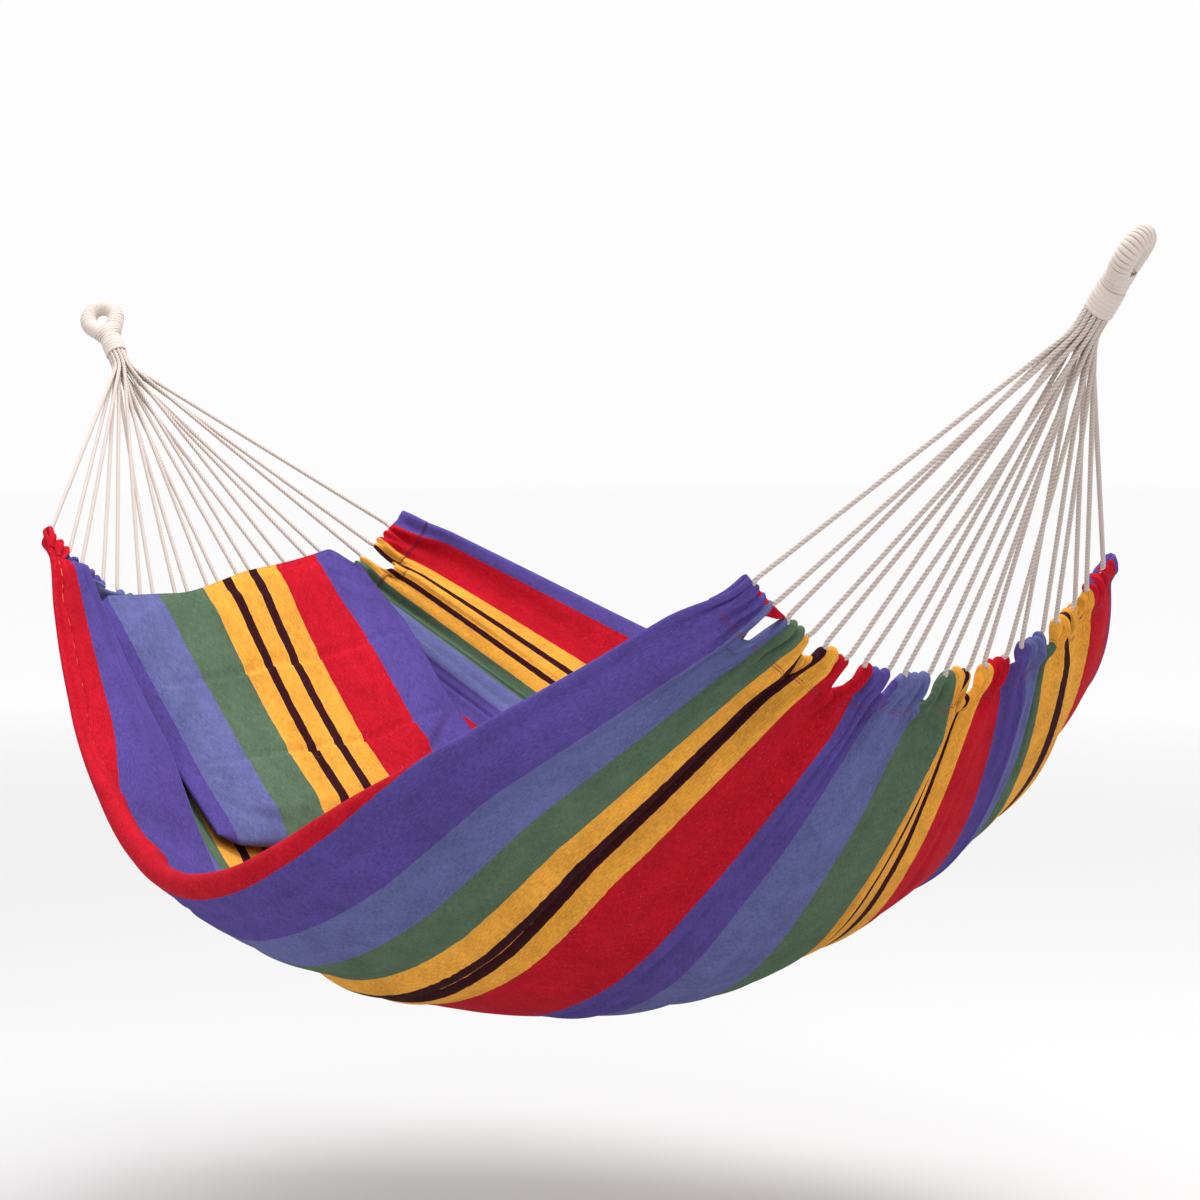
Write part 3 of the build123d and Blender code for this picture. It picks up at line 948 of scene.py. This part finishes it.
def bed_row(end, layer, value):
    """One row of points from free edge to free edge, and each one's place on the flat cloth."""
    distance = value if layer else 0.0
    nominal = CLOTH_LENGTH - distance if end == "foot" else distance
    fold_in, fold_out = float(near_fold(nominal)), float(far_fold(nominal))
    across = fold_in + (CLOTH_WIDTH - fold_out - fold_in) * INNER
    at_foot = end == "foot" or nominal > CLOTH_LENGTH / 2
    places, angles, edges = FOOT_KNOTS if at_foot else HEAD_KNOTS
    from_end = min(nominal, CLOTH_LENGTH - nominal)
    cut = notch_depth(across, edges) * (1 - smooth(0.0, 0.085, from_end))
    peaks = 0.003 * soft_noise(across / 0.012, across * 0 + 4, 31) * (1 - smooth(0, 0.05, from_end))
    shift = cut + peaks
    along = (CLOTH_LENGTH - distance - shift) if end == "foot" else (nominal + shift)
    if end == "middle":
        along = np.full_like(across, nominal)
    station = station_of(along)
    near, far = -near_rim(station), rim_angle(FAR_CURVE, station)
    low, high = crowding(fold_in, nominal), crowding(CLOTH_WIDTH - fold_out, nominal)
    share = (crowding(across, nominal) - low) / (high - low)
    angle = near + (far - near) * share
    gathered = 1 - smooth(0.0, 0.10, from_end)
    angle = angle * (1 - gathered) + np.interp(across, places, angles) * gathered
    distance_now = np.minimum(along, CLOTH_LENGTH - along)
    seed = 42 if at_foot else 41
    lift = gathers(across, distance_now, edges, seed) + flutes(across, distance_now, edges)
    lift += wrinkles(across, along) * smooth(0.0, 0.12, from_end)
    fold_lift, slide = long_fold(across, CLOTH_LENGTH - along)
    lift += fold_lift
    if not at_foot:
        pressed = under_pillow(angle, along)
        lift = lift * (1 - pressed) - 0.002 * pressed
        angle, lift = beside_pillow(across, along, fold_in, angle, lift)
    if end != "middle":
        room = CHANNEL * (1 - smooth(0.006, HEM_FOLD, distance)) + 0.0009
        fade = 1 - smooth(HEM_FOLD, HEM_FOLD + 0.02, distance)
        height = (room + puff(across, distance, edges, seed + 10)) * fade
        if layer == 1:
            lift = lift - height
        elif layer == -1:
            lift = lift + height + 0.0004
        else:
            lift = lift + height * np.cos(value)
            back = height * np.sin(value)
            along = along + (back if end == "foot" else -back)
    body = hang(along, angle, lift, slide)
    near_band = near_lip(along, angle, lift, fold_in, nominal)
    far_band = far_lip(along[::-1], angle[::-1], lift[::-1], fold_out, nominal)
    whole = np.concatenate([fold_in * (1 - LIP_NEAR), across, CLOTH_WIDTH - fold_out * (1 - LIP_FAR)])
    material_along = (CLOTH_LENGTH + distance if end == "foot" else -distance) if layer == -1 else nominal
    material = np.stack([whole, np.full_like(whole, material_along), np.zeros_like(whole)], axis=-1)
    return np.concatenate([near_band, body, far_band]), material


def curl(shares, width, radius, turn):
    """Path of a band that bends over from the rim: distance in over the cloth, and height."""
    s = np.linspace(0, width, 60)
    bend = turn * smooth(0, pi * radius, s)
    step = s[1] - s[0]
    out = np.concatenate([[0], np.cumsum(np.cos(bend[:-1]) * step)])
    rise = np.concatenate([[0], np.cumsum(np.sin(bend[:-1]) * step)])
    return -np.interp(shares * width, s, out), np.interp(shares * width, s, rise)


def follow_cloth(inward, along, angle, lift):
    """Angle and lift of the cloth at distances in from its rim; outside the rim it carries on."""
    radius = float(drop(station_of(along[0])))
    steps = np.sqrt((np.diff(angle) * radius) ** 2 + np.diff(lift) ** 2)
    run = np.concatenate([[0], np.cumsum(steps)])
    turn = np.sign(angle[-1] - angle[0])
    inside = np.interp(inward, run, angle)
    outside = angle[0] + turn * inward / radius
    return np.where(inward > 0, inside, outside), np.interp(inward, run, lift)


def waver(place, row, seed):
    """One value of the smooth random field."""
    return float(soft_noise(np.array([place]), np.array([row]), seed)[0])


def near_lip(along, angle, lift, width, nominal):
    """The near band, which turns in over the bed; its free edge waves."""
    share = nominal / CLOTH_LENGTH
    fuller = 0.018 * float(smooth(0.10, 0.42, share))
    tighter = 0.017 * float(smooth(0.66, 0.92, share))
    radius = 0.005 + fuller - tighter
    wave = waver(nominal / 0.05, 2.0, 51)
    slow = waver(nominal / 0.16, 7.0, 53)
    inward, rise = curl(LIP_NEAR, width * (1 + 0.04 * wave + 0.05 * slow), radius, radians(190))
    base_angle, base_lift = follow_cloth(inward, along, angle, lift)
    ripple = (0.003 * wave + 0.006 * slow) * LIP_NEAR
    raised = np.maximum(rise + ripple, 0.0025 * smooth(0.0, 0.01, inward + 0.002))
    return hang(np.full_like(LIP_NEAR, along[0]), base_angle, base_lift + raised)


def far_lip(along, angle, lift, width, nominal):
    """The far band: it turns out against the back, and rolls over to the inside at the foot."""
    wave = waver(nominal / 0.06, 5.0, 52)
    side = 1 - 2 * float(smooth(0.50, 1.38, nominal))
    inward, rise = curl(LIP_FAR, width * (1 + 0.03 * wave), 0.0042, radians(184) * side)
    base_angle, base_lift = follow_cloth(inward, along, angle, lift)
    return hang(np.full_like(LIP_FAR, along[0]), base_angle, base_lift - rise)


def add_bed(stitching):
    rows = [bed_row(*row) for row in bed_rows()]
    points = np.array([row[0] for row in rows])
    material = np.array([row[1] for row in rows])
    piece = mesh_object("bed_cloth_striped", points.reshape(-1, 3), grid_faces(*points.shape[:2]))
    store(piece, "cloth", material)
    piece.data.materials.append(STRIPED)
    solid = piece.modifiers.new("thickness", "SOLIDIFY")
    solid.thickness = CLOTH_THICK
    solid.offset = 0.0
    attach(piece, "bed")
    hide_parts("bed_cloth", "head_hem", "foot_hem", "near_selvedge_hem", "far_selvedge_hem")


STITCH_ROWS = (0.0415, 0.0455)     # from the hem's fold
STITCH_LONG = 0.0034
STITCH_PITCH = 0.0050
STITCH_WIDE = 0.0010
BOX_FACES = ((0, 1, 2, 3), (7, 6, 5, 4), (0, 4, 5, 1), (1, 5, 6, 2), (2, 6, 7, 3), (3, 7, 4, 0))


def add_stitching():
    """Two rows of running stitches along each hem, standing proud of both faces of the cloth."""
    points, faces, along = [], [], []
    for end in ("head", "foot"):
        for row in STITCH_ROWS:
            outer, material = bed_row(end, 1, row)
            deeper, _ = bed_row(end, 1, row + STITCH_WIDE)
            flap, _ = bed_row(end, -1, row)
            flap_deeper, _ = bed_row(end, -1, row + STITCH_WIDE)
            places = material[:, 0]
            for first, second, away in ((outer, deeper, flap), (flap, flap_deeper, outer)):
                proud = unit(first - away)
                lines = [first + proud * 0.0003, second + proud * 0.0003, second + proud * 0.0011,
                         first + proud * 0.0011]
                starts = np.arange(float(near_fold(0 if end == "head" else CLOTH_LENGTH)) + 0.003,
                                   CLOTH_WIDTH - 0.065, STITCH_PITCH)
                for start in starts:
                    base = len(points)
                    for place in (start, start + STITCH_LONG):
                        for line in lines:
                            points.append([np.interp(place, places, line[:, k]) for k in range(3)])
                            along.append((place, row, 0.0))
                    faces += [tuple(base + corner for corner in face) for face in BOX_FACES]
    piece = mesh_object("hem_stitching", points, faces, smooth_faces=False)
    store(piece, "lay", along)
    piece.data.materials.append(THREAD)
    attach(piece, "bed")
    return piece


# ---- pillow ----------------------------------------------------------------------
PILLOW_CREASES = ((0.335, 0.0058), (0.665, 0.0066))    # place along it, and depth
SWELL_FRAMES = 18
SWELL_MOST = 0.006             # how far a point of the cover may move


def over_bed(x, y, lift, flatter=0.0):
    """A point above the bed at this place in plan, lifted off it along its slope."""
    station = (x - MID_X) / HALF_SPAN
    for _ in range(5):
        fall = slope(station)
        norm = np.sqrt(1 + fall * fall)
        station = (x - MID_X - lift * fall / norm) / HALF_SPAN
    fall = slope(station)
    norm = np.sqrt(1 + fall * fall)
    radius = drop(station) - lift / norm + flatter
    return NECK_Z + flatter - np.sqrt(radius * radius - y * y)


def rounding(edge, reach):
    """Quarter-round rise from a seam: 0 on it, 1 from the reach inwards."""
    t = np.clip(1 - edge / reach, 0, 1)
    return np.sqrt(np.clip(1 - t ** 2.2, 0, 1))


def pillow_faces_at(p, q):
    """Top and underside of the cover; p runs along the bed and q across it, from 0 to 1."""
    run = PILLOW_RUN * p + (0.5 - p) * 0.012 * (1 - (2 * q - 1) ** 2)
    wide = PILLOW_WIDE * q + (0.5 - q) * 0.010 * (1 - (2 * p - 1) ** 2)
    wide = wide + PILLOW_SPILL * smooth(0.70, 1.0, q) * smooth(0.0, 0.35, p)
    run = run + 0.030 * smooth(0.90, 1.0, q) * np.exp(-p / 0.07)
    run = run + 0.014 * (1 - smooth(0.0, 0.08, q)) * (np.exp(-p / 0.07) - np.exp(-(1 - p) / 0.07))
    x = PILLOW_CORNER[0] + run * cos(PILLOW_TURN) - wide * sin(PILLOW_TURN)
    y = PILLOW_CORNER[1] + run * sin(PILLOW_TURN) + wide * cos(PILLOW_TURN)
    share = np.clip((x - PILLOW_CORNER[0]) / PILLOW_RUN, -0.2, 1)
    top_lift = PILLOW_TOP[0] + (PILLOW_TOP[1] - PILLOW_TOP[0]) * share
    low = over_bed(x, y, PILLOW_LIFT + 0 * x)
    high = over_bed(x, y, top_lift, PILLOW_FLATTER)
    slack = 0.35 * (1 - smooth(0.0, 0.3, q)) * np.exp(-p / 0.2)
    hump = smooth(0.30, 0.62, q) * np.exp(-(p / 0.30) ** 1.5) - slack
    high = high + 0.030 * hump + 0.024 * smooth(0.6, 0.95, q) * smooth(0.1, 0.5, p)
    seam = 0.46 + 0.46 * np.maximum(np.exp(-p / 0.10), smooth(0.72, 0.98, q))
    rise = (rounding(p * PILLOW_RUN, 0.040) * rounding((1 - p) * PILLOW_RUN, 0.050)
            * rounding(q * PILLOW_WIDE, 0.045) * rounding((1 - q) * PILLOW_WIDE, 0.022))
    crown = 1 - 0.10 * ((2 * p - 1) ** 2 + (2 * q - 1) ** 2) / 2
    creases = 0.0
    for place, size in PILLOW_CREASES:
        wander = place + 0.010 * np.sin(q * 9 + place * 20)
        dent = size * bell(p - wander, 0.010)
        creases = creases + dent * smooth(0.04, 0.12, q) * smooth(0.02, 0.08, 1 - q)
    creases = creases + 0.0038 * bell(q - 0.50, 0.008) * smooth(0.05, 0.15, p)
    waves = 0.0028 * soft_noise(p / 0.16 + 2, q / 0.12 + 5, 61)
    waves = waves + 0.0014 * soft_noise(p / 0.07, q / 0.05, 62)
    top = low + (high - low) * (seam + (crown - seam) * rise) + (waves - creases) * rise
    under = low + (high - low) * seam * (1 - rise)
    top = np.minimum(top, high)
    return np.stack([x, y, top], axis=-1), np.stack([x, y, np.minimum(under, top)], axis=-1)


def swell(piece, pins, most):
    """Fills the cover with a short cloth simulation; no point may move further than most."""
    group = piece.vertex_groups.new(name="seams")
    group.add([int(i) for i in pins], 1.0, "REPLACE")
    cloth = piece.modifiers.new("Cloth", "CLOTH")
    cloth.settings.quality = 6
    cloth.settings.use_pressure = True
    cloth.settings.uniform_pressure_force = 3.0
    cloth.settings.vertex_group_mass = "seams"
    cloth.settings.bending_stiffness = 2.0
    cloth.settings.effector_weights.gravity = 0.0
    cloth.collision_settings.use_collision = False
    scene = bpy.context.scene
    for frame_number in range(1, SWELL_FRAMES + 1):
        scene.frame_set(frame_number)
    shaped = piece.evaluated_get(bpy.context.evaluated_depsgraph_get())
    after = np.array([v.co[:] for v in shaped.data.vertices])
    before = np.array([v.co[:] for v in piece.data.vertices])
    piece.modifiers.remove(cloth)
    scene.frame_set(1)
    move = after - before
    length = np.linalg.norm(move, axis=1, keepdims=True)
    move *= np.minimum(1, most / np.maximum(length, 1e-9))
    points = before + move
    floor = over_bed(points[:, 0], points[:, 1], np.full(len(points), 0.0035))
    points[:, 2] = np.maximum(points[:, 2], floor)
    piece.data.vertices.foreach_set("co", points.astype(np.float32).ravel())
    piece.data.update()


def add_pillow():
    rows, columns = PILLOW_CELLS
    p, q = np.meshgrid(np.linspace(0, 1, rows + 1), np.linspace(0, 1, columns + 1), indexing="ij")
    top, under = pillow_faces_at(p, q)
    every = np.concatenate([top.reshape(-1, 3), under.reshape(-1, 3)])
    count = p.size
    rim = ((p == 0) | (p == 1) | (q == 0) | (q == 1)).ravel()
    below = np.arange(count) + count
    below[rim] = np.arange(count)[rim]
    grid = grid_faces(rows + 1, columns + 1)
    faces = [tuple(reversed(f)) for f in grid] + [tuple(below[i] for i in f) for f in grid]
    used = np.unique(np.array(faces))
    renumber = {int(old): new for new, old in enumerate(used)}
    faces = [[renumber[int(i)] for i in face] for face in faces]
    piece = mesh_object("pillow_striped_cover", every[used], faces)
    wide = PILLOW_WIDE * q + PILLOW_SPILL * smooth(0.70, 1.0, q)
    across = PILLOW_STRIPE_START + np.concatenate([wide.ravel(), wide.ravel()]) / PILLOW_STRIPE_SCALE
    along = PILLOW_RUN * np.concatenate([p.ravel(), p.ravel()])
    store(piece, "cloth", np.stack([across, along, 0 * along], axis=-1)[used])
    piece.data.materials.append(STRIPED)
    swell(piece, np.arange(count)[rim], SWELL_MOST)
    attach(piece, "pillow")
    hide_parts("pillow_cover", "pillow_filling", "pillow_side_seams")


add_bed(add_stitching())
add_pillow()

# ---- floor and light -------------------------------------------------------------
FLOOR_Z = -1.45


def add_floor():
    n = Nodes("pale_floor")
    place = n.add("ShaderNodeTexCoord").outputs["Object"]
    reach = n.add("ShaderNodeVectorMath", operation="LENGTH")
    n.link(place, reach.inputs[0])
    # painted shade: the floor is darker near the middle, where the lamps light it most, and nearly white
    # far out, so that it looks evenly pale
    pale = n.spread(reach.outputs["Value"], 2.0, 9.0, 0.66, 0.985)
    n.link(n.vector(pale, pale, pale), n.shader.inputs["Base Color"])
    n.shader.inputs["Roughness"].default_value = 0.9
    size = 60.0
    corners = [(x * size, y * size, FLOOR_Z) for x, y in ((-1, -1), (1, -1), (1, 1), (-1, 1))]
    floor = mesh_object("floor", corners, [(0, 1, 2, 3)], smooth_faces=False)
    floor.data.materials.append(n.material)


def add_area_light(name, place, target, size, power):
    data = bpy.data.lights.new(name, "AREA")
    data.size = size
    data.energy = power
    light = new_object(name, data)
    light.location = place
    aim(light, Vector(target) - Vector(place))


def add_lights():
    world = bpy.data.worlds.new("studio")
    world.use_nodes = True
    world.node_tree.nodes["Background"].inputs[0].default_value = (1, 1, 1, 1)
    world.node_tree.nodes["Background"].inputs[1].default_value = 0.98
    bpy.context.scene.world = world
    centre = (MID_X, 0, -0.6)
    add_area_light("key", (3.0, -2.2, 2.8), centre, 2.0, 30)
    add_area_light("top", (0.9, 0.3, 3.3), centre, 2.0, 135)


add_floor()
add_lights()
bpy.context.scene.view_settings.view_transform = "Standard"
